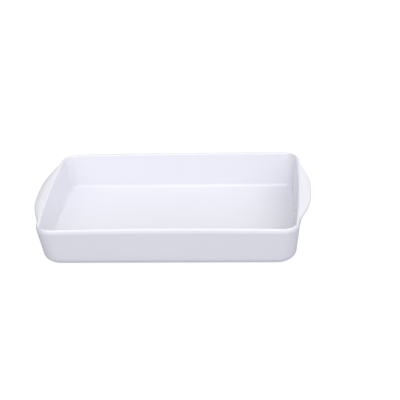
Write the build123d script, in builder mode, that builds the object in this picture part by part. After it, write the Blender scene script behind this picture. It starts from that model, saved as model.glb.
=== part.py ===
from build123d import *
import math
import os

# Rectangular lasagna dish in white glazed stoneware, with a wave-shaped lug handle on
# each short end. All sizes are in millimetres. The origin is the middle of the
# footprint, on the surface that the dish stands on. X runs along the length, Y along
# the width, and Z is up.

# Overall sizes
body_length = 344.0           # over the rim, at the middle of the bowed ends
body_width = 221.0            # over the rim
height = 57.0                 # from the table to the crown of the rim

# Plan shape
end_bow = 4.5                 # how far each short end swells outward at its middle
rim_corner_radius = 24.5      # outside corner at the rim, seen from above
wall_lean = 6.5               # how far the walls lean inward from rim to base

# Wall and floor
wall = 5.4                    # thickness of the walls, measured level
rim_round_share = 0.47        # radius of the rolled rim and nose, as a share of the wall
floor_thickness = 6.0
heel_radius = 11.0            # outside, where the walls turn under to the base
cove_radius = 8.0             # inside, where the walls meet the floor

# Standing ring
foot_height = 1.2
foot_width = 6.0
foot_setback = 1.0            # from the end of the heel to the ring
foot_corner_radius = 10.0     # outside corner of the ring

# Handles
handle_projection = 12.0      # of the nose beyond the rim, at the middle
nose_share = 1.0              # thickness of the shelf at its nose, over the wall
nose_undercut = 35.0          # degrees that the underside of the nose leans inward
shoulder_share = 0.4          # half of the flat crown of the wave, over its half span
shoulder_round_share = 0.78   # how much of the crown the shoulder's round takes up
foot_run = 5.5                # from the wave's foot to the corner of the dish
foot_round_share = 0.95       # how much of that run the hollow round at the foot takes
luting = 0.35                 # how far the root stands proud of the wall it is luted to

# Cutters run past the faces that they cut by this much
overrun = 3.0

# Levels, from the table up, and the slope of the walls
base_level = foot_height
floor_level = base_level + floor_thickness
lean_slope = wall_lean / (height - base_level)
lean_angle = math.degrees(math.atan(lean_slope))

rim_round = wall * rim_round_share
nose_thickness = wall * nose_share

# The bow of the short ends is an arc about an upright axis
half_width = body_width / 2
bow_radius = (half_width**2 + end_bow**2) / (2 * end_bow)
bow_axis_x = body_length / 2 - bow_radius


def lean_at(level):
    """How far the wall stands inside the rim outline at this level."""
    return lean_slope * (height - level)


def beyond_rim(edge):
    """How far the middle of an edge stands beyond the bow of the rim."""
    middle = edge.position_at(0.5)
    return math.hypot(middle.X - bow_axis_x, middle.Y) - bow_radius


def outline(inset, corner_radius):
    """Plan at the rim or inside it: straight long sides, bowed ends, round corners."""
    side_y = half_width - inset
    end_x = bow_axis_x + bow_radius - inset
    corner_x = bow_axis_x + math.sqrt((bow_radius - inset)**2 - side_y**2)
    with BuildSketch(mode=Mode.PRIVATE) as plan:
        with BuildLine():
            Line((-corner_x, -side_y), (corner_x, -side_y))
            ThreePointArc((corner_x, -side_y), (end_x, 0), (corner_x, side_y))
            Line((corner_x, side_y), (-corner_x, side_y))
            ThreePointArc((-corner_x, side_y), (-end_x, 0), (-corner_x, -side_y))
        make_face()
        fillet(plan.vertices(), radius=corner_radius)
    return plan.sketch


def leaning_block(plan, top, bottom, angle):
    """Block of this plan between two levels, its sides leaning inward going down."""
    with BuildPart(mode=Mode.PRIVATE) as block:
        with BuildSketch(Plane.XY.offset(top)):
            add(plan)
        extrude(amount=bottom - top)
        sides = block.faces().sort_by(Axis.Z)[1:-1]
        draft(sides, neutral_plane=Plane.XY.offset(top), angle=-angle)
    return block.part


# The lug handle is a shelf that swells out of the rim in a wave, between the corners
# of the dish. Seen from above, the wave has a flat crown, a round shoulder on each side
# and a hollow round at each foot, where it eases back into the rim.
nose_x = body_length / 2 + handle_projection
foot_y = half_width - rim_corner_radius - foot_run
foot_x = bow_axis_x + math.sqrt(bow_radius**2 - foot_y**2) + luting
shoulder_y = shoulder_share * foot_y
wave_turn = math.atan2(nose_x - foot_x, foot_y - shoulder_y)
foot_turn = wave_turn - math.asin(foot_y / bow_radius)
shoulder_radius = shoulder_round_share * shoulder_y / math.tan(wave_turn / 2)
foot_radius = foot_round_share * foot_run / math.tan(foot_turn / 2)
inner_foot_y = foot_y + math.tan(math.pi / 2 - wave_turn) * overrun

with BuildSketch() as wave:
    add(outline(-luting, rim_corner_radius + luting))
    with BuildLine():
        Polyline(
            (foot_x - overrun, -inner_foot_y),
            (nose_x, -shoulder_y),
            (nose_x, shoulder_y),
            (foot_x - overrun, inner_foot_y),
            close=True,
        )
    make_face()
    fillet(wave.vertices().sort_by(Axis.X)[-2:], radius=shoulder_radius)
    fillet(wave.vertices().sort_by(Axis.X)[-6:-4], radius=foot_radius)

# Cut through the middle of a handle: the seam, let into the outer half of the wall under
# the crown of the rim, the shelf above, and below it the hollow for the fingers, a
# quarter round that runs from the nose to the wall
nose_level = height - nose_thickness / 2
shelf_edge_x = nose_x - nose_thickness / 2
hollow_radius = (
    shelf_edge_x - body_length / 2 + lean_slope * nose_thickness - luting
) / (1 - lean_slope)
root_level = height - nose_thickness - hollow_radius
root_x = body_length / 2 - lean_at(root_level) + luting
seam_x = (body_length - wall) / 2
tip_angle = math.asin((half_width - rim_corner_radius) / bow_radius)
tip_plane = Plane(
    origin=(bow_axis_x, 0, 0),
    x_dir=(math.cos(tip_angle), -math.sin(tip_angle), 0),
    z_dir=(-math.sin(tip_angle), -math.cos(tip_angle), 0),
)

# The handle is the wave, upright down to the middle of its nose and undercut below,
# kept only where the cut goes when it is swept about the bow's axis
with BuildPart() as right_handle:
    with BuildSketch(Plane.XY.offset(height)):
        add(wave.sketch)
    extrude(amount=nose_level - height)
    add(leaning_block(wave.sketch, nose_level, root_level - overrun, nose_undercut))
    with BuildSketch(tip_plane):
        with BuildLine():
            seam_top = (seam_x - bow_axis_x, height + overrun)
            seam_foot = (seam_x - bow_axis_x, root_level)
            root = (root_x - bow_axis_x, root_level)
            under_nose = (shelf_edge_x - bow_axis_x, height - nose_thickness)
            beyond_nose = nose_x + overrun - bow_axis_x
            Line(seam_top, seam_foot)
            Line(seam_foot, root)
            RadiusArc(root, under_nose, hollow_radius)
            Line(under_nose, (beyond_nose, height - nose_thickness))
            Line((beyond_nose, height - nose_thickness), (beyond_nose, height + overrun))
            Line((beyond_nose, height + overrun), seam_top)
        make_face()
    revolve(
        axis=Axis((bow_axis_x, 0, 0), (0, 0, 1)),
        revolution_arc=2 * math.degrees(tip_angle),
        mode=Mode.INTERSECT,
    )
    crown = right_handle.faces().sort_by(Axis.Z)[-1]
    upper_edges = crown.edges().filter_by(lambda edge: beyond_rim(edge) > 0)
    fillet(upper_edges, radius=rim_round)
right_handle.part.label = "right_handle"

with BuildPart() as left_handle:
    mirror(right_handle.part, about=Plane.YZ)
left_handle.part.label = "left_handle"

# The hollow of the dish, with its cove where the walls meet the floor
with BuildPart() as hollow:
    mouth = outline(wall, rim_corner_radius - wall)
    add(leaning_block(mouth, height, floor_level, lean_angle))
    fillet(hollow.faces().sort_by(Axis.Z)[0].edges(), radius=cove_radius)
    with BuildSketch(Plane.XY.offset(height)):
        add(mouth)
    extrude(amount=overrun)

# The basin, with a seat in each end wall where a handle's root is let in
with BuildPart() as basin:
    add(leaning_block(outline(0, rim_corner_radius), height, base_level, lean_angle))
    fillet(basin.faces().sort_by(Axis.Z)[0].edges(), radius=heel_radius)
    add(hollow.part, mode=Mode.SUBTRACT)
    fillet(basin.faces().sort_by(Axis.Z)[-1].edges(), radius=rim_round)
    add(right_handle.part, mode=Mode.SUBTRACT)
    add(left_handle.part, mode=Mode.SUBTRACT)
basin.part.label = "basin"

# The unglazed ring that the dish stands on
ring_inset = lean_at(base_level) + heel_radius + foot_setback
with BuildPart() as foot_ring:
    with BuildSketch():
        add(outline(ring_inset, foot_corner_radius))
        add(outline(ring_inset + foot_width, foot_corner_radius - foot_width), mode=Mode.SUBTRACT)
    extrude(amount=foot_height)
foot_ring.part.label = "foot_ring"

os.makedirs("parts", exist_ok=True)
export_step(basin.part, "parts/basin.step")
export_step(left_handle.part, "parts/left_handle.step")
export_step(right_handle.part, "parts/right_handle.step")
export_step(foot_ring.part, "parts/foot_ring.step")
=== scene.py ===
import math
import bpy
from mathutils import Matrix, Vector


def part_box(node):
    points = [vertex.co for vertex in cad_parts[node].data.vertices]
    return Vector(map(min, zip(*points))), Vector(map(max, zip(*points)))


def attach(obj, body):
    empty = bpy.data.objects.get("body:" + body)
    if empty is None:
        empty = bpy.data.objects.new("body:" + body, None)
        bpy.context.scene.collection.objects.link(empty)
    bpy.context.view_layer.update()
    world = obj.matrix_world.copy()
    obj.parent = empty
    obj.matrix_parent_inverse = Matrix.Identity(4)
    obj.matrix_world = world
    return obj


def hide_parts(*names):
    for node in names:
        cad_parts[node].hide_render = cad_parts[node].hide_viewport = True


bl_info = {
    "name": "Glazed lasagna dish",
    "version": (1, 0, 0),
    "blender": (4, 5, 0),
    "location": "3D View > Sidebar > Lasagna dish",
    "description": "Models and glazes a rectangular lasagna dish with wave-shaped lug handles",
    "category": "Add Mesh",
}

import bpy
from bpy.props import FloatProperty, FloatVectorProperty, PointerProperty
from mathutils import Matrix, Vector

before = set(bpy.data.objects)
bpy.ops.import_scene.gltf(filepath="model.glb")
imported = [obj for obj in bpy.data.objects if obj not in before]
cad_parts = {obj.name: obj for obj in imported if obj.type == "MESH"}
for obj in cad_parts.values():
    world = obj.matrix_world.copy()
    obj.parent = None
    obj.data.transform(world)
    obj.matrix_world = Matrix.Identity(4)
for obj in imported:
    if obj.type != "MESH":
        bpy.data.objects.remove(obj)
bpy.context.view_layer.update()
BASIN_LOW, BASIN_HIGH = (Vector(corner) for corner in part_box("basin"))
RING_LOW, RING_HIGH = (Vector(corner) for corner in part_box("foot_ring"))

# Rows in each round of the dish's profile, and in a cut through a handle
RIM_ROWS = 8
ROUND_ROWS = 6
COVE_ROWS = 8
HEEL_ROWS = 9
NOSE_ROWS = 6
HOLLOW_ROWS = 10
SHELF_STRIPS = 3
# Rows down the outside that the handles are drawn from: nose, finger hollow and its foot
BAND_ROWS = NOSE_ROWS + HOLLOW_ROWS + 1
FIRST_ROW_DROP = 0.0003
ROW_DROP = 0.0009
# Rows down the rest of the walls, as shares of the way
INSIDE_SHARES = (0.06, 0.16, 0.34, 0.52, 0.7, 0.86, 1.0)
OUTSIDE_SHARES = (0.2, 0.42, 0.64, 0.84)
# Rows on the flat of floor and base, in metres past the round beside it
FLOOR_RUNS = (0.002, 0.005)
BASE_RUNS = (0.003, 0.006)

# Where the wave of a handle stands out less than this, it is eased into the wall
FULL_REACH = 0.002
# How far the foot of the finger hollow runs down the wall
FOOT_RUN = 0.001
# How near a vertex lies to its row of the profile
ROW_GAP = 0.00025
# A difference of place that doesn't count
TINY = 1e-5

# How much more the inside corners tighten at the table's level than at the rim
CRISPER_LOW = 2.6
# Largest share of its radius that a corner may lose
LARGEST_LOSS = 0.8
# How quickly the arch and the pull of the rim fade below it
FADE = 1.5

RING_WIDTH = 0.006
RING_ROUND = 0.0005
# A face whose normal has at least this upright share lies flat
FLAT = 0.9

FLOOR_SIZE = 8.0
CAMERA_PLACE = (0.16806, -1.31994, 0.76547)
CAMERA_PITCH, CAMERA_YAW, CAMERA_ROLL = 28.703, -5.731, -3.199


class DishSizes(bpy.types.PropertyGroup):
    """Sizes of the dish, in metres; its height and base level come from the frame"""
    half_length: FloatProperty(
        name="Half length",
        description="Middle of the dish to the corner of a short end, at the rim",
        default=0.1680, unit="LENGTH")
    half_width: FloatProperty(
        name="Half width", description="Middle of the dish to a long side, at the rim",
        default=0.1105, unit="LENGTH")
    height: FloatProperty(
        name="Height", description="Table to the crown of the rim",
        default=BASIN_HIGH.z, unit="LENGTH")
    base: FloatProperty(
        name="Base level", description="Table to the underside of the dish",
        default=BASIN_LOW.z, unit="LENGTH")
    floor: FloatProperty(
        name="Floor level", description="Table to the floor inside the dish",
        default=0.0072, unit="LENGTH")
    wall: FloatProperty(
        name="Wall", description="Thickness of the walls and of the rolled rim",
        default=0.0054, unit="LENGTH")
    shoulder: FloatProperty(
        name="Shoulder", description="How far down the outside the rounding of the rim reaches",
        default=0.0062, unit="LENGTH")
    lean: FloatProperty(
        name="Lean", description="How far a wall leans inward for each metre down",
        default=0.0065 / 0.0558)
    corner: FloatProperty(
        name="Corner", description="Radius of the corners of the rim, seen from above",
        default=0.0245, unit="LENGTH")
    heel: FloatProperty(
        name="Heel", description="Radius where the outside turns under to the base",
        default=0.011, unit="LENGTH")
    cove: FloatProperty(
        name="Cove", description="Radius where the inside turns into the floor",
        default=0.0045, unit="LENGTH")
    bow: FloatProperty(
        name="Bow", description="How far the short ends swell outward at their middle",
        default=0.0045, unit="LENGTH")
    arch: FloatProperty(
        name="Arch", description="How far the rim drops from the middle of the dish to its ends",
        default=0.0016, unit="LENGTH")
    pull: FloatProperty(
        name="Pull", description="How far the long sides are pulled in at the middle of their rims",
        default=0.0013, unit="LENGTH")
    tighter: FloatProperty(
        name="Tighter rim corners", description="How much smaller the corners are along the rim",
        default=0.0035, unit="LENGTH")
    crisper: FloatProperty(
        name="Tighter inside corners", description="How much smaller the corners are on the inside",
        default=0.0040, unit="LENGTH")
    fuller: FloatProperty(
        name="Fuller base corners", description="How much larger the corners are at the table",
        default=0.0056, unit="LENGTH")


class LugSizes(bpy.types.PropertyGroup):
    """Sizes of the wave-shaped lug handles"""
    reach: FloatProperty(
        name="Reach", description="How far the nose stands out beyond the rim",
        default=0.01178, unit="LENGTH")
    span: FloatProperty(
        name="Half span", description="Middle of the handle to where the wave dies out",
        default=0.0981, unit="LENGTH")
    crown: FloatProperty(
        name="Crown", description="How flat the crown of the wave is",
        default=3.15)
    sweep: FloatProperty(
        name="Sweep", description="How softly the wave runs out at its tips",
        default=4.10)
    droop: FloatProperty(
        name="Droop", description="How far the nose lies below the crown of the rim",
        default=0.0025, unit="LENGTH")
    hollow: FloatProperty(
        name="Hollow", description="Radius of the finger hollow under the nose",
        default=0.009, unit="LENGTH")


class DishFinish(bpy.types.PropertyGroup):
    """Colours and surface of the glaze and of the bare clay, with the painted highlight, shade and
    light on the glaze
    """
    glaze: FloatVectorProperty(
        name="Glaze", description="Colour of the white glaze where it lies even",
        default=(0.80, 0.80, 0.862), size=3, subtype="COLOR", min=0, max=1)
    pooled: FloatVectorProperty(
        name="Pooled glaze", description="Colour where the glaze has run together in the hollows",
        default=(0.785, 0.787, 0.85), size=3, subtype="COLOR", min=0, max=1)
    # Painted highlight: a lighter colour painted along the crown of the rim, which also spreads
    # over the handles' tops
    rim_highlight: FloatVectorProperty(
        name="Rim highlight", description="Lighter colour painted along the crown of the rim, as a painted highlight",
        default=(0.812, 0.807, 0.872), size=3, subtype="COLOR", min=0, max=1)
    # Painted shade: a darker colour painted on the crown of the back rim, where less light falls
    back_rim_shade: FloatVectorProperty(
        name="Back rim shade", description="Darker colour painted on the crown of the back rim, as painted shade",
        default=(0.705, 0.705, 0.735), size=3, subtype="COLOR", min=0, max=1)
    # Painted shade: a darker colour painted on the two ends of the floor, beside the end walls
    ends: FloatVectorProperty(
        name="Shade at the floor's ends", description="Darker colour painted on the two ends of the floor, as painted shade",
        default=(0.775, 0.777, 0.84), size=3, subtype="COLOR", min=0, max=1)
    # Painted light: a lighter colour painted on the downward faces under the heel, next to the
    # standing ring
    wiped: FloatVectorProperty(
        name="Light under the heel", description="Lighter colour painted on the downward faces under the heel, as painted light",
        default=(0.88, 0.88, 0.915), size=3, subtype="COLOR", min=0, max=1)
    gloss: FloatProperty(
        name="Roughness", description="Roughness of the glaze",
        default=0.10, min=0, max=1)
    dulled: FloatProperty(
        name="Dulled", description="How much rougher the glaze is along the top of the rim",
        default=0.22, min=0)
    clay: FloatVectorProperty(
        name="Bare clay", description="Colour of the fired clay that is left unglazed",
        default=(0.68, 0.64, 0.57), size=3, subtype="COLOR", min=0, max=1)


class StudioLight(bpy.types.PropertyGroup):
    """Lights and floor of the plain studio, and the camera's lens"""
    dome: FloatProperty(
        name="Dome", description="Strength of the even white light all round",
        default=0.27, min=0)
    wide: FloatProperty(
        name="Wide front", description="Strength of the very wide light in front",
        default=1.69, min=0)
    front: FloatProperty(
        name="Front", description="Strength of the light above the camera",
        default=0.62, min=0)
    right: FloatProperty(
        name="Right", description="Strength of the light on the right",
        default=0.82, min=0)
    back: FloatProperty(
        name="Back", description="Strength of the low light behind the dish",
        default=0.52, min=0)
    lamp: FloatProperty(
        name="Lamp", description="Strength of the small lamp above, which draws the bright lines",
        default=0.20, min=0)
    floor: FloatVectorProperty(
        name="Floor", description="Colour of the plain floor",
        default=(0.15, 0.15, 0.15), size=3, subtype="COLOR", min=0, max=1)
    glow: FloatProperty(
        name="Glow",
        description="How much of the floor's white is its own, so that shadows stay faint",
        default=0.90, min=0)
    bounce: FloatVectorProperty(
        name="Bounce", description="Colour of the floor for the light that it throws back",
        default=(0.06, 0.06, 0.068), size=3, subtype="COLOR", min=0, max=1)
    lift: FloatVectorProperty(
        name="Lift", description="Even light from the floor, also where the dish shades it",
        default=(0.37, 0.37, 0.412), size=3, subtype="COLOR", min=0, max=1)
    lens: FloatProperty(
        name="Lens", description="Focal length of the camera, in millimetres",
        default=101.35, min=10)


def clamped(value):
    return min(max(value, 0), 1)


def drop_all():
    """Leave nothing selected, because the frame's own parts come in selected."""
    bpy.ops.object.select_all(action="DESELECT")


def take_up(piece):
    """Select one piece alone, and make it the active one."""
    drop_all()
    piece.select_set(True)
    bpy.context.view_layer.objects.active = piece


def in_edit(piece):
    take_up(piece)
    bpy.ops.object.mode_set(mode="EDIT")


def pick(piece, items, kind, wanted):
    """Select, in edit mode, the faces or edges that are wanted, and nothing else."""
    bpy.ops.object.mode_set(mode="OBJECT")
    mesh = piece.data
    for group in (mesh.vertices, mesh.edges, mesh.polygons):
        group.foreach_set("select", [False] * len(group))
    for item in getattr(mesh, items):
        item.select = wanted(item)
    bpy.ops.object.mode_set(mode="EDIT")
    bpy.ops.mesh.select_mode(type=kind)


def pick_faces(piece, wanted):
    """Select, in edit mode, the faces whose normal and number of corners are wanted."""
    pick(piece, "polygons", "FACE", lambda face: wanted(face.normal, len(face.vertices)))


def pick_edges(piece, wanted):
    """Select, in edit mode, the edges whose two ends are wanted."""
    mesh = piece.data
    pick(piece, "edges", "EDGE",
         lambda edge: wanted(*(mesh.vertices[index].co for index in edge.vertices)))


def smooth_skin(piece):
    """Subdivide the walls; the two flat many-sided faces are taken off and put back after."""
    pick_faces(piece, lambda normal, corners: corners > 4)
    bpy.ops.mesh.delete(type="ONLY_FACE")
    bpy.ops.object.mode_set(mode="OBJECT")
    take_up(piece)
    modifier = piece.modifiers.new("Smooth skin", "SUBSURF")
    modifier.levels = 1
    modifier.render_levels = 1
    bpy.ops.object.modifier_apply(modifier=modifier.name)
    in_edit(piece)
    bpy.ops.mesh.select_all(action="SELECT")
    bpy.ops.mesh.fill_holes(sides=0)
    bpy.ops.mesh.select_all(action="SELECT")
    bpy.ops.mesh.normals_make_consistent(inside=False)
    bpy.ops.object.mode_set(mode="OBJECT")
    bpy.ops.object.shade_smooth()


def rounded_band(name, half_x, half_y, radius, low, high, corner_cuts, end_cuts, side_cuts):
    """Start of a piece: a shallow block with round corners, divided where it will be shaped."""
    drop_all()
    bpy.ops.mesh.primitive_plane_add(size=2, location=(0, 0, high))
    piece = bpy.context.object
    piece.name = name
    piece.data.name = name
    piece.scale = (half_x, half_y, 1)
    bpy.ops.object.transform_apply(location=True, rotation=False, scale=True)
    in_edit(piece)
    bpy.ops.mesh.select_mode(type="VERT")
    bpy.ops.mesh.select_all(action="SELECT")
    bpy.ops.mesh.bevel(offset=radius, segments=corner_cuts, profile=0.5, affect="VERTICES")
    near = radius / 1000
    pick_edges(piece, lambda a, b: min(abs(a.x), abs(b.x)) > half_x - near)
    bpy.ops.mesh.subdivide(number_cuts=end_cuts)
    pick_edges(piece, lambda a, b: min(abs(a.y), abs(b.y)) > half_y - near)
    bpy.ops.mesh.subdivide(number_cuts=side_cuts)
    bpy.ops.mesh.select_mode(type="FACE")
    bpy.ops.mesh.select_all(action="SELECT")
    bpy.ops.mesh.dissolve_faces()
    bpy.ops.mesh.extrude_region_move(TRANSFORM_OT_translate={"value": (0, 0, low - high)})
    bpy.ops.mesh.select_all(action="SELECT")
    bpy.ops.mesh.normals_make_consistent(inside=False)
    bpy.ops.object.mode_set(mode="OBJECT")
    return piece


def inset_along(piece, facing, steps):
    """Run the upper (1) or lower (-1) face inward along a profile of (inset, level) steps."""
    most = max(len(face.vertices) for face in piece.data.polygons)
    pick_faces(piece, lambda normal, corners: normal.z * facing > FLAT and corners == most)
    inset, level = steps[0]
    for next_inset, next_level in steps[1:]:
        bpy.ops.mesh.inset(thickness=next_inset - inset, depth=(next_level - level) * facing,
                           use_even_offset=True, use_relative_offset=False)
        inset, level = next_inset, next_level
    bpy.ops.object.mode_set(mode="OBJECT")


def on_round(across, level, radius, angle):
    """Point of a round about a centre, in a profile or a cut through a handle."""
    return across + radius * math.cos(angle), level + radius * math.sin(angle)


def arc_rows(across, level, radius, start, end, count):
    """Points of a round after its start, with angles from straight inward."""
    return [on_round(across, level, radius, start + (end - start) * row / count)
            for row in range(1, count + 1)]


def dish_profiles(sizes):
    """Outside and inside profile of the dish, from the widest line of the rim.

    Points are (inset from the plan of the rim, level).
    """
    slope = math.atan(sizes.lean)
    crown_angle, wall_angle, floor_angle = math.pi / 2, math.pi + slope, math.pi * 1.5
    round_radius = sizes.wall / 2
    rim_level = sizes.height - round_radius
    rim_inset = round_radius + sizes.lean * round_radius
    start = (sizes.lean * sizes.shoulder, sizes.height - sizes.shoulder)

    # inside: over the rolled rim, which is rounder outside, down the wall, round the cove
    inside = [start]
    for row in range(1, RIM_ROWS + 1):
        angle = crown_angle * row / RIM_ROWS
        inside.append((rim_inset - (rim_inset - start[0]) * math.cos(angle),
                       start[1] + sizes.shoulder * math.sin(angle)))
    inside += arc_rows(rim_inset, rim_level, round_radius, crown_angle, 0, ROUND_ROWS)
    # the cove's centre stands off the wall and the floor by its radius
    cove_level = sizes.floor + sizes.cove
    at_cove = sizes.wall + sizes.lean * (sizes.height - cove_level)
    cove_inset = at_cove + sizes.cove / math.cos(slope)
    wall_end = (cove_inset - sizes.cove * math.cos(slope),
                cove_level - sizes.cove * math.sin(slope))
    wall_top = inside[-1]
    for share in INSIDE_SHARES:
        inside.append((wall_top[0] + (wall_end[0] - wall_top[0]) * share,
                       wall_top[1] + (wall_end[1] - wall_top[1]) * share))
    inside += arc_rows(cove_inset, cove_level, sizes.cove, wall_angle, floor_angle, COVE_ROWS)
    inside += [(cove_inset + run, sizes.floor) for run in FLOOR_RUNS]

    # outside: down the wall through the handles' band, round the heel, over the base
    heel_level = sizes.base + sizes.heel
    heel_inset = sizes.lean * (sizes.height - heel_level) + sizes.heel / math.cos(slope)
    heel_top = (heel_inset - sizes.heel * math.cos(slope),
                heel_level - sizes.heel * math.sin(slope))
    levels = [start[1] - FIRST_ROW_DROP]
    levels += [start[1] - ROW_DROP * row for row in range(1, BAND_ROWS)]
    rest = levels[-1] - heel_top[1]
    levels += [levels[-1] - rest * share for share in OUTSIDE_SHARES]
    outside = [start]
    outside += [(sizes.lean * (sizes.height - level), level) for level in levels]
    outside.append(heel_top)
    outside += arc_rows(heel_inset, heel_level, sizes.heel, wall_angle, floor_angle, HEEL_ROWS)
    outside += [(heel_inset + run, sizes.base) for run in BASE_RUNS]
    return outside, inside


def lug_section(sizes, lug, reach):
    """Cut through a handle at one place: middle of its nose, and its rows down to the wall.

    The rows run from the shelf over the nose and through the finger hollow, as (outward,
    level), outward from the plan of the rim.
    """
    slope = math.atan(sizes.lean)
    radius = sizes.wall / 2
    level = sizes.height - radius - lug.droop * reach / lug.reach
    nose = Vector((reach - radius - sizes.lean * radius, level))
    away = Vector((math.cos(slope), -math.sin(slope)))
    down = Vector((-math.sin(slope), -math.cos(slope)))
    crown = Vector((0.0, sizes.height))
    stand = (nose - crown).dot(away)
    run = math.sqrt(max((radius + lug.hollow) ** 2 - (stand - lug.hollow) ** 2, 0))
    centre = crown + away * lug.hollow + down * ((nose - crown).dot(down) + run)
    turn = math.atan2(centre.y - nose.y, centre.x - nose.x)
    rows = arc_rows(nose.x, nose.y, radius, 0, turn, NOSE_ROWS)
    rows += arc_rows(centre.x, centre.y, lug.hollow, math.pi + turn, math.pi - slope, HOLLOW_ROWS)
    rows.append(tuple(Vector(rows[-1]) + down * FOOT_RUN))
    return nose, rows


def shelf_point(sizes, nose, order):
    """Place of a row on top of a handle: strips of drooping shelf, then the nose's upper round.

    The rows are counted outward from the crown of the rim.
    """
    radius = sizes.wall / 2
    crown_out = -(radius + sizes.lean * radius)
    slope = math.atan(2 * (sizes.height - radius - nose.y) / (nose.x - crown_out + radius))
    start_angle = math.pi / 2 - slope
    if order >= SHELF_STRIPS:
        turned = (order - SHELF_STRIPS) / (RIM_ROWS - SHELF_STRIPS)
        return on_round(nose.x, nose.y, radius, start_angle * (1 - turned))
    end_out, end_level = on_round(nose.x, nose.y, radius, start_angle)
    share = order / SHELF_STRIPS
    return (crown_out + (end_out - crown_out) * share,
            sizes.height + (end_level - sizes.height) * share ** 2)


def swell(lug, y):
    """How far the wave stands out at this place along the short end."""
    share = min(abs(y) / lug.span, 1.0)
    return lug.reach * (1 - share ** lug.crown) ** lug.sweep


def shape_lugs(piece, sizes, lug, outside, inside):
    """Draw the band under the rim out into the two handles, place by place."""
    band = outside[1:BAND_ROWS + 1]
    table = {("rim", RIM_ROWS - 1 - row): inside[1 + row] for row in range(RIM_ROWS - 1)}
    table["widest", 0] = outside[0]
    table.update({("band", row): point for row, point in enumerate(band)})
    corner_x = sizes.half_length - sizes.corner
    corner_y = sizes.half_width - sizes.corner
    for vertex in piece.data.vertices:
        x, y, z = vertex.co
        across = Vector((max(abs(x) - corner_x, 0), max(abs(y) - corner_y, 0)))
        if z < band[-1][1] - TINY or abs(x) < corner_x or across.x < TINY:
            continue
        inset = sizes.corner - across.length
        gap, (part, row) = min((math.hypot(point[0] - inset, point[1] - z), key)
                               for key, point in table.items())
        reach = swell(lug, y * (1 - rounding(sizes, z) / corner_y)) * (across.x / across.length)
        if gap > ROW_GAP or reach < TINY:
            continue
        nose, section = lug_section(sizes, lug, reach)
        if part == "rim":
            target = shelf_point(sizes, nose, row)
        elif part == "widest":
            target = (nose.x + sizes.wall / 2, nose.y)
        else:
            target = section[row]
        blend = min(reach / FULL_REACH, 1.0)
        blend = blend * blend * (3 - 2 * blend)
        vertex.co.x += math.copysign((target[0] + inset) * blend, x)
        vertex.co.z = z + (target[1] - z) * blend


def rounding(sizes, level, inset=0.0):
    """How much larger than in the plan the corners are, at this level and this far inward."""
    up = clamped(level / sizes.height)
    grown = sizes.fuller * (1 - up) - sizes.tighter * up
    if level < sizes.floor - TINY:
        return grown
    through = (inset - sizes.lean * (sizes.height - level)) / sizes.wall
    crispness = CRISPER_LOW - (CRISPER_LOW - 1) * up
    return grown - sizes.crisper * crispness * clamped(2 * through - 1)


def open_corners(piece, sizes):
    """Change the radius of the corners with height: tight along the rim, full at the base."""
    corner_x = sizes.half_length - sizes.corner
    corner_y = sizes.half_width - sizes.corner
    for vertex in piece.data.vertices:
        x, y, z = vertex.co
        across_x, across_y = abs(x) - corner_x, abs(y) - corner_y
        radius = math.hypot(max(across_x, 0), max(across_y, 0))
        grown = max(rounding(sizes, z, sizes.corner - radius), -LARGEST_LOSS * radius)
        if across_x > 0 and across_y > 0:
            swollen = (radius + grown) / radius
            vertex.co.x = math.copysign(corner_x - grown + across_x * swollen, x)
            vertex.co.y = math.copysign(corner_y - grown + across_y * swollen, y)
        if across_x <= 0:
            vertex.co.x = x * (corner_x - grown) / corner_x
        if across_y <= 0:
            vertex.co.y = y * (corner_y - grown) / corner_y


def settle(piece, sizes):
    """Bow the short ends, and let the long rims arch and pull in as fired clay does."""
    for vertex in piece.data.vertices:
        x, y, z = vertex.co
        along = max(min(x / sizes.half_length, 1.0), -1.0)
        across = y / sizes.half_width
        up = max(z / sizes.height, 0)
        vertex.co.x = x + sizes.bow * (1 - across * across) * along
        vertex.co.y = y - sizes.pull * (1 - along * along) * across * up ** FADE
        vertex.co.z = z - sizes.arch * (along * along) * up ** FADE


class DISH_OT_glazed_body(bpy.types.Operator):
    """Model the glazed dish with both lug handles in one skin"""
    bl_idname = "dish.glazed_body"
    bl_label = "Glazed body"

    def execute(self, context):
        sizes, lug = context.scene.dish_sizes, context.scene.dish_lugs
        outside, inside = dish_profiles(sizes)
        inset, level = outside[0]
        # the lower edge of the block is the first step down the wall
        lower = outside[1][1]
        piece = rounded_band(
            "glazed_body", sizes.half_length - inset, sizes.half_width - inset,
            sizes.corner - inset, lower, level, corner_cuts=12, end_cuts=47, side_cuts=23)
        inset_along(piece, 1, inside)
        inset_along(piece, -1, [(inset, lower)] + outside[2:])
        mark_glaze(piece, sizes)
        shape_lugs(piece, sizes, lug, outside, inside)
        open_corners(piece, sizes)
        settle(piece, sizes)
        smooth_skin(piece)
        piece.data.materials.clear()
        piece.data.materials.append(white_glaze(context.scene.dish_finish, sizes))
        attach(piece, "root")
        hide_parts("basin", "left_handle", "right_handle")
        return {"FINISHED"}


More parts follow.
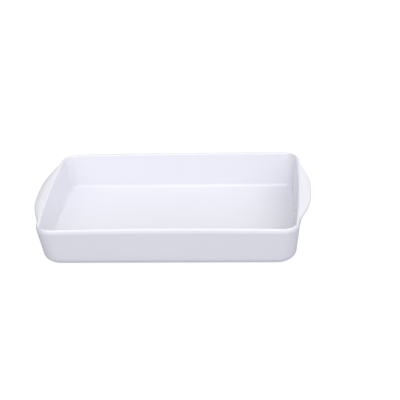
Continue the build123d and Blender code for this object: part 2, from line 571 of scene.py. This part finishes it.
class DISH_OT_standing_ring(bpy.types.Operator):
    """Model the unglazed ring that the dish stands on, its glaze cleaned off"""
    bl_idname = "dish.standing_ring"
    bl_label = "Standing ring"

    def execute(self, context):
        sizes = context.scene.dish_sizes
        half_y = RING_HIGH.y
        inset = sizes.half_width - half_y
        half_x = sizes.half_length - inset
        piece = rounded_band(
            "standing_ring", half_x, half_y, sizes.corner + sizes.fuller - inset,
            RING_LOW.z, RING_HIGH.z, corner_cuts=8, end_cuts=31, side_cuts=15)
        pick_faces(piece, lambda normal, corners: abs(normal.z) > FLAT)
        bpy.ops.mesh.inset(thickness=RING_WIDTH, use_even_offset=True, use_relative_offset=False)
        bpy.ops.mesh.bridge_edge_loops()

        def runs_along(a, b):
            insets = [min(half_x - abs(end.x), half_y - abs(end.y)) for end in (a, b)]
            return abs(insets[0] - insets[1]) < RING_WIDTH / 2

        lowest = RING_LOW.z + TINY
        pick_edges(piece, lambda a, b: max(a.z, b.z) < lowest and runs_along(a, b))
        bpy.ops.mesh.bevel(offset=RING_ROUND, segments=3, profile=0.5, affect="EDGES")
        bpy.ops.object.mode_set(mode="OBJECT")
        settle(piece, sizes)
        take_up(piece)
        bpy.ops.object.shade_smooth_by_angle(angle=math.radians(50))
        piece.data.materials.clear()
        piece.data.materials.append(bare_clay(context.scene.dish_finish))
        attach(piece, "root")
        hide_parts("foot_ring")
        return {"FINISHED"}


def fired_surface():
    """Node group: how a fired surface varies over a piece, in clouds, ripples and grain."""
    name = "Fired surface"
    if name in bpy.data.node_groups:
        return bpy.data.node_groups[name]
    group = bpy.data.node_groups.new(name, "ShaderNodeTree")
    for label, default in (("Cloud", 9.0), ("Ripple", 55.0), ("Grain", 900.0)):
        size = group.interface.new_socket(
            name=label + " size", in_out="INPUT", socket_type="NodeSocketFloat")
        size.default_value = default
        group.interface.new_socket(name=label, in_out="OUTPUT", socket_type="NodeSocketFloat")
    nodes, links = group.nodes, group.links
    given = nodes.new("NodeGroupInput")
    result = nodes.new("NodeGroupOutput")
    place = nodes.new("ShaderNodeTexCoord")
    for label, detail, rough in (("Cloud", 2.0, 0.45), ("Ripple", 1.0, 0.4), ("Grain", 3.0, 0.6)):
        noise = nodes.new("ShaderNodeTexNoise")
        noise.inputs["Detail"].default_value = detail
        noise.inputs["Roughness"].default_value = rough
        links.new(place.outputs["Object"], noise.inputs["Vector"])
        links.new(given.outputs[label + " size"], noise.inputs["Scale"])
        links.new(noise.outputs["Fac"], result.inputs[label])
    return group


def surface_in(material, cloud, ripple, grain):
    """Place the fired surface in a material, with its own values."""
    node = material.node_tree.nodes.new("ShaderNodeGroup")
    node.node_tree = fired_surface()
    node.inputs["Cloud size"].default_value = cloud
    node.inputs["Ripple size"].default_value = ripple
    node.inputs["Grain size"].default_value = grain
    return node


def give(tree, socket, value):
    """Link a socket's output to an input, or set the input to a plain value."""
    if isinstance(value, bpy.types.NodeSocket):
        tree.links.new(value, socket)
    else:
        socket.default_value = value


def worked_out(material, operation, *values):
    """A value from a Math node, from numbers and other values."""
    tree = material.node_tree
    node = tree.nodes.new("ShaderNodeMath")
    node.operation = operation
    for socket, value in zip(node.inputs, values):
        give(tree, socket, value)
    return node.outputs["Value"]


def ramp(material, value, low, high):
    """Turn a value into a share, from nothing at low to all at high."""
    node = material.node_tree.nodes.new("ShaderNodeMapRange")
    node.interpolation_type = "SMOOTHSTEP"
    node.inputs["From Min"].default_value = low
    node.inputs["From Max"].default_value = high
    material.node_tree.links.new(value, node.inputs["Value"])
    return node.outputs["Result"]


def blend_colour(material, share, first, second):
    """Mix two colours or colour outputs by a share."""
    tree = material.node_tree
    node = tree.nodes.new("ShaderNodeMix")
    node.data_type = "RGBA"
    tree.links.new(share, node.inputs["Factor"])
    for name, colour in (("A", first), ("B", second)):
        plain = not isinstance(colour, bpy.types.NodeSocket)
        give(tree, node.inputs[name], (*colour, 1) if plain else colour)
    return node.outputs["Result"]


def mask_in(material, name):
    """Read a mask that is painted on the piece."""
    node = material.node_tree.nodes.new("ShaderNodeAttribute")
    node.attribute_name = name
    return node.outputs["Fac"]


def add_bump(material, shader, height, strength, depth):
    tree = material.node_tree
    bump = tree.nodes.new("ShaderNodeBump")
    bump.inputs["Strength"].default_value = strength
    bump.inputs["Distance"].default_value = depth
    tree.links.new(height, bump.inputs["Height"])
    tree.links.new(bump.outputs["Normal"], shader.inputs["Normal"])


def new_material(name):
    material = bpy.data.materials.new(name)
    material.use_nodes = True
    shader = next(node for node in material.node_tree.nodes if node.type == "BSDF_PRINCIPLED")
    return material, shader


def floor_end_shade(material, sizes):
    """Share of painted shade on the two ends of the floor, beside the end walls."""
    tree = material.node_tree
    place = tree.nodes.new("ShaderNodeTexCoord")
    split = tree.nodes.new("ShaderNodeSeparateXYZ")
    tree.links.new(place.outputs["Object"], split.inputs["Vector"])
    along = worked_out(material, "ABSOLUTE", split.outputs["X"])
    wall_foot = sizes.half_length - sizes.wall - sizes.lean * sizes.height - sizes.cove
    near_end = ramp(material, along, low=wall_foot - 0.055, high=wall_foot - 0.015)
    short_of_wall = ramp(material, along, low=wall_foot + 0.003, high=wall_foot)
    on_floor = ramp(material, split.outputs["Z"],
                    low=sizes.floor + 0.0025, high=sizes.floor + 0.0005)
    at_foot = worked_out(material, "MULTIPLY", near_end, short_of_wall)
    return worked_out(material, "MULTIPLY", at_foot, on_floor)


def white_glaze(finish, sizes):
    """Glossy white glaze: pooled in the hollows, faintly rippled, duller along the rim, with a
    painted highlight along the rim, painted shade on the back rim and at the floor's ends, and
    painted light under the heel.
    """
    material, shader = new_material("White glaze")
    tree = material.node_tree
    surface = surface_in(material, cloud=9.0, ripple=42.0, grain=700.0)
    cloud = ramp(material, surface.outputs["Cloud"], low=0.3, high=0.7)
    cloudy = [0.5 * (a + b) for a, b in zip(finish.glaze, finish.pooled)]
    colour = blend_colour(material, cloud, finish.glaze, cloudy)
    # pooled glaze, then painted shade at the floor's ends and on the back rim, painted light under
    # the heel and a painted highlight along the rim
    for share, second in ((mask_in(material, "pooling"), finish.pooled),
                          (floor_end_shade(material, sizes), finish.ends),
                          (mask_in(material, "drained"), finish.back_rim_shade),
                          (mask_in(material, "wiped"), finish.wiped),
                          (mask_in(material, "thinning"), finish.rim_highlight)):
        colour = blend_colour(material, share, colour, second)
    tree.links.new(colour, shader.inputs["Base Color"])
    # the grain makes the gloss uneven, and the top of the rim is duller
    rough = tree.nodes.new("ShaderNodeMapRange")
    rough.inputs["To Min"].default_value = finish.gloss * 0.85
    rough.inputs["To Max"].default_value = finish.gloss * 1.2
    tree.links.new(surface.outputs["Grain"], rough.inputs["Value"])
    dull = worked_out(material, "MULTIPLY_ADD",
                      mask_in(material, "dulling"), finish.dulled, rough.outputs["Result"])
    tree.links.new(dull, shader.inputs["Roughness"])
    grain_share = 0.02
    waves = worked_out(material, "MULTIPLY_ADD",
                       surface.outputs["Grain"], grain_share, surface.outputs["Ripple"])
    add_bump(material, shader, waves, strength=0.25, depth=0.0004)
    shader.inputs["IOR"].default_value = 1.5
    return material


def bare_clay(finish):
    """Matt fired clay: speckled and gritty."""
    material, shader = new_material("Bare clay")
    surface = surface_in(material, cloud=40.0, ripple=260.0, grain=1900.0)
    cloud = ramp(material, surface.outputs["Cloud"], low=0.35, high=0.65)
    specks = ramp(material, surface.outputs["Grain"], low=0.62, high=0.7)
    stained, speck = ([share * value for value in finish.clay] for share in (0.86, 0.62))
    colour = blend_colour(material, cloud, finish.clay, stained)
    colour = blend_colour(material, specks, colour, speck)
    material.node_tree.links.new(colour, shader.inputs["Base Color"])
    shader.inputs["Roughness"].default_value = 0.85
    add_bump(material, shader, surface.outputs["Grain"], strength=0.5, depth=0.0003)
    return material


def mark_glaze(piece, sizes):
    """Paint masks on the glaze, before the handles are drawn out of the rim.

    The glaze is pooled in cove and heel, and dull along the crown of the rim, where a lighter
    colour is painted as a highlight. Towards the back the crown is painted darker instead, as
    painted shade. Under the heel, next to the standing ring, a lighter colour is painted as painted
    light. On the handles' tops the painted highlight fades out.
    """
    pool_depth = 1.4 * sizes.heel
    crown_inset, crown_width = 0.55 * sizes.wall, 0.6 * sizes.wall
    crown_depth = 0.5 * sizes.wall
    back_start, back_run = 0.45 * sizes.half_width, 0.5 * sizes.half_width
    underside_light_level, underside_light_fade = 0.009, 0.005
    mesh = piece.data
    masks = ("pooling", "thinning", "dulling", "drained", "wiped")
    for name in masks:
        mesh.attributes.new(name, "FLOAT", "POINT")
    pooling, thinning, dulling, drained, wiped = (mesh.attributes[name].data for name in masks)
    corner_x = sizes.half_length - sizes.corner
    corner_y = sizes.half_width - sizes.corner
    for vertex in mesh.vertices:
        x, y, z = vertex.co
        number = vertex.index
        low = 1 - clamped((z - sizes.floor) / pool_depth)
        pooling[number].value = low * (1 - abs(vertex.normal.z) ** 6)
        inset = sizes.corner - math.hypot(max(abs(x) - corner_x, 0), max(abs(y) - corner_y, 0))
        crown = 1 - min(abs(inset - crown_inset) / crown_width, 1)
        on_top = crown * clamped((z - sizes.height + sizes.wall) / crown_depth)
        behind = clamped((y - back_start) / back_run)
        dulling[number].value = on_top
        # painted highlight along the crown of the rim, fading out towards the back
        thinning[number].value = on_top * (1 - behind)
        # painted shade on the crown of the back rim
        drained[number].value = on_top * behind
        # painted light on the downward faces under the heel
        wiped[number].value = clamped((underside_light_level - z) / underside_light_fade) if vertex.normal.z < 0 else 0


def soft_sun(name, strength, spread, elevation, azimuth):
    """One wide, even light; azimuth runs from the right of the dish towards its back."""
    drop_all()
    bpy.ops.object.light_add(type="SUN", location=(0, 0, 1))
    light = bpy.context.object
    light.name = name
    light.data.energy = strength
    light.data.angle = math.radians(spread)
    up, turn = math.radians(elevation), math.radians(azimuth)
    source = Vector((math.cos(up) * math.cos(turn), math.cos(up) * math.sin(turn), math.sin(up)))
    light.rotation_euler = source.to_track_quat("Z", "Y").to_euler()


def plain_floor(studio):
    """Matt floor that is seen nearly shadowless, and throws little light back at the dish."""
    material, shader = new_material("Plain floor")
    tree = material.node_tree
    seen = tree.nodes.new("ShaderNodeLightPath").outputs["Is Camera Ray"]
    colour = blend_colour(material, seen, studio.bounce, studio.floor)
    tree.links.new(colour, shader.inputs["Base Color"])
    glow = blend_colour(material, seen, studio.lift, [studio.glow] * 3)
    tree.links.new(glow, shader.inputs["Emission Color"])
    shader.inputs["Emission Strength"].default_value = 1.0
    shader.inputs["Roughness"].default_value = 0.9
    shader.inputs["Specular IOR Level"].default_value = 0.0
    return material


def white_dome(studio):
    """World that lights the dish softly, and that the camera sees as pure white."""
    world = bpy.data.worlds.new("White dome")
    world.use_nodes = True
    nodes, links = world.node_tree.nodes, world.node_tree.links
    sky = next(node for node in nodes if node.type == "BACKGROUND")
    sky.inputs["Color"].default_value = (1, 1, 1, 1)
    strength = nodes.new("ShaderNodeMapRange")
    strength.inputs["To Min"].default_value = studio.dome
    path = nodes.new("ShaderNodeLightPath")
    links.new(path.outputs["Is Camera Ray"], strength.inputs["Value"])
    links.new(strength.outputs["Result"], sky.inputs["Strength"])
    return world


def camera_matrix(place, pitch, yaw, roll):
    """Place and turn of the camera, from its pitch down, yaw right and roll, in degrees."""
    pitch, yaw, roll = (math.radians(value) for value in (pitch, yaw, roll))
    ahead = Vector((math.sin(yaw) * math.cos(pitch), math.cos(yaw) * math.cos(pitch),
                    -math.sin(pitch)))
    level = Vector((math.cos(yaw), -math.sin(yaw), 0))
    upright = level.cross(ahead)
    right = level * math.cos(roll) + upright * math.sin(roll)
    up = upright * math.cos(roll) - level * math.sin(roll)
    turn = Matrix((right, up, -ahead)).transposed().to_4x4()
    return Matrix.Translation(place) @ turn


class DISH_OT_stage(bpy.types.Operator):
    """Set out the plain floor, the soft studio light and the camera"""
    bl_idname = "dish.stage"
    bl_label = "Floor, light and camera"

    def execute(self, context):
        scene = context.scene
        studio = scene.dish_studio
        drop_all()
        bpy.ops.mesh.primitive_plane_add(size=FLOOR_SIZE, location=(0, 0, 0))
        floor = context.object
        floor.name = "floor"
        floor.data.materials.append(plain_floor(studio))
        scene.world = white_dome(studio)
        soft_sun("wide_front", studio.wide, spread=110, elevation=38, azimuth=-90)
        soft_sun("front", studio.front, spread=40, elevation=36, azimuth=-90)
        soft_sun("right", studio.right, spread=50, elevation=45, azimuth=0)
        soft_sun("back", studio.back, spread=60, elevation=30, azimuth=85)
        soft_sun("lamp", studio.lamp, spread=12, elevation=66, azimuth=-100)
        scene.view_settings.view_transform = "Standard"
        scene.view_settings.look = "None"
        view = bpy.data.cameras.new("Photograph")
        view.sensor_width = 36.0
        view.lens = studio.lens
        view.clip_end = 50.0
        camera = bpy.data.objects.new("Photograph", view)
        scene.collection.objects.link(camera)
        camera.matrix_world = camera_matrix(CAMERA_PLACE, CAMERA_PITCH, CAMERA_YAW, CAMERA_ROLL)
        scene.camera = camera
        return {"FINISHED"}


class DISH_PT_panel(bpy.types.Panel):
    """Sizes, finish and light of the lasagna dish, and the steps that make it"""
    bl_label = "Lasagna dish"
    bl_idname = "DISH_PT_panel"
    bl_space_type = "VIEW_3D"
    bl_region_type = "UI"
    bl_category = "Lasagna dish"

    def draw(self, context):
        scene, layout = context.scene, self.layout
        for title, group in (("Dish", scene.dish_sizes), ("Handles", scene.dish_lugs),
                             ("Finish", scene.dish_finish), ("Studio", scene.dish_studio)):
            box = layout.box()
            box.label(text=title)
            for name in group.bl_rna.properties.keys():
                if name not in ("rna_type", "name"):
                    box.prop(group, name)
        for operator in OPERATORS:
            layout.operator(operator.bl_idname)


OPERATORS = (DISH_OT_glazed_body, DISH_OT_standing_ring, DISH_OT_stage)
SETTINGS = (("dish_sizes", DishSizes), ("dish_lugs", LugSizes),
            ("dish_finish", DishFinish), ("dish_studio", StudioLight))


def register():
    for name, group in SETTINGS:
        bpy.utils.register_class(group)
        setattr(bpy.types.Scene, name, PointerProperty(type=group))
    for item in (*OPERATORS, DISH_PT_panel):
        bpy.utils.register_class(item)


def unregister():
    for item in reversed((*OPERATORS, DISH_PT_panel)):
        bpy.utils.unregister_class(item)
    for name, group in reversed(SETTINGS):
        delattr(bpy.types.Scene, name)
        bpy.utils.unregister_class(group)


def main():
    register()
    bpy.ops.dish.glazed_body()
    bpy.ops.dish.standing_ring()
    bpy.ops.dish.stage()


if __name__ == "__main__":
    main()
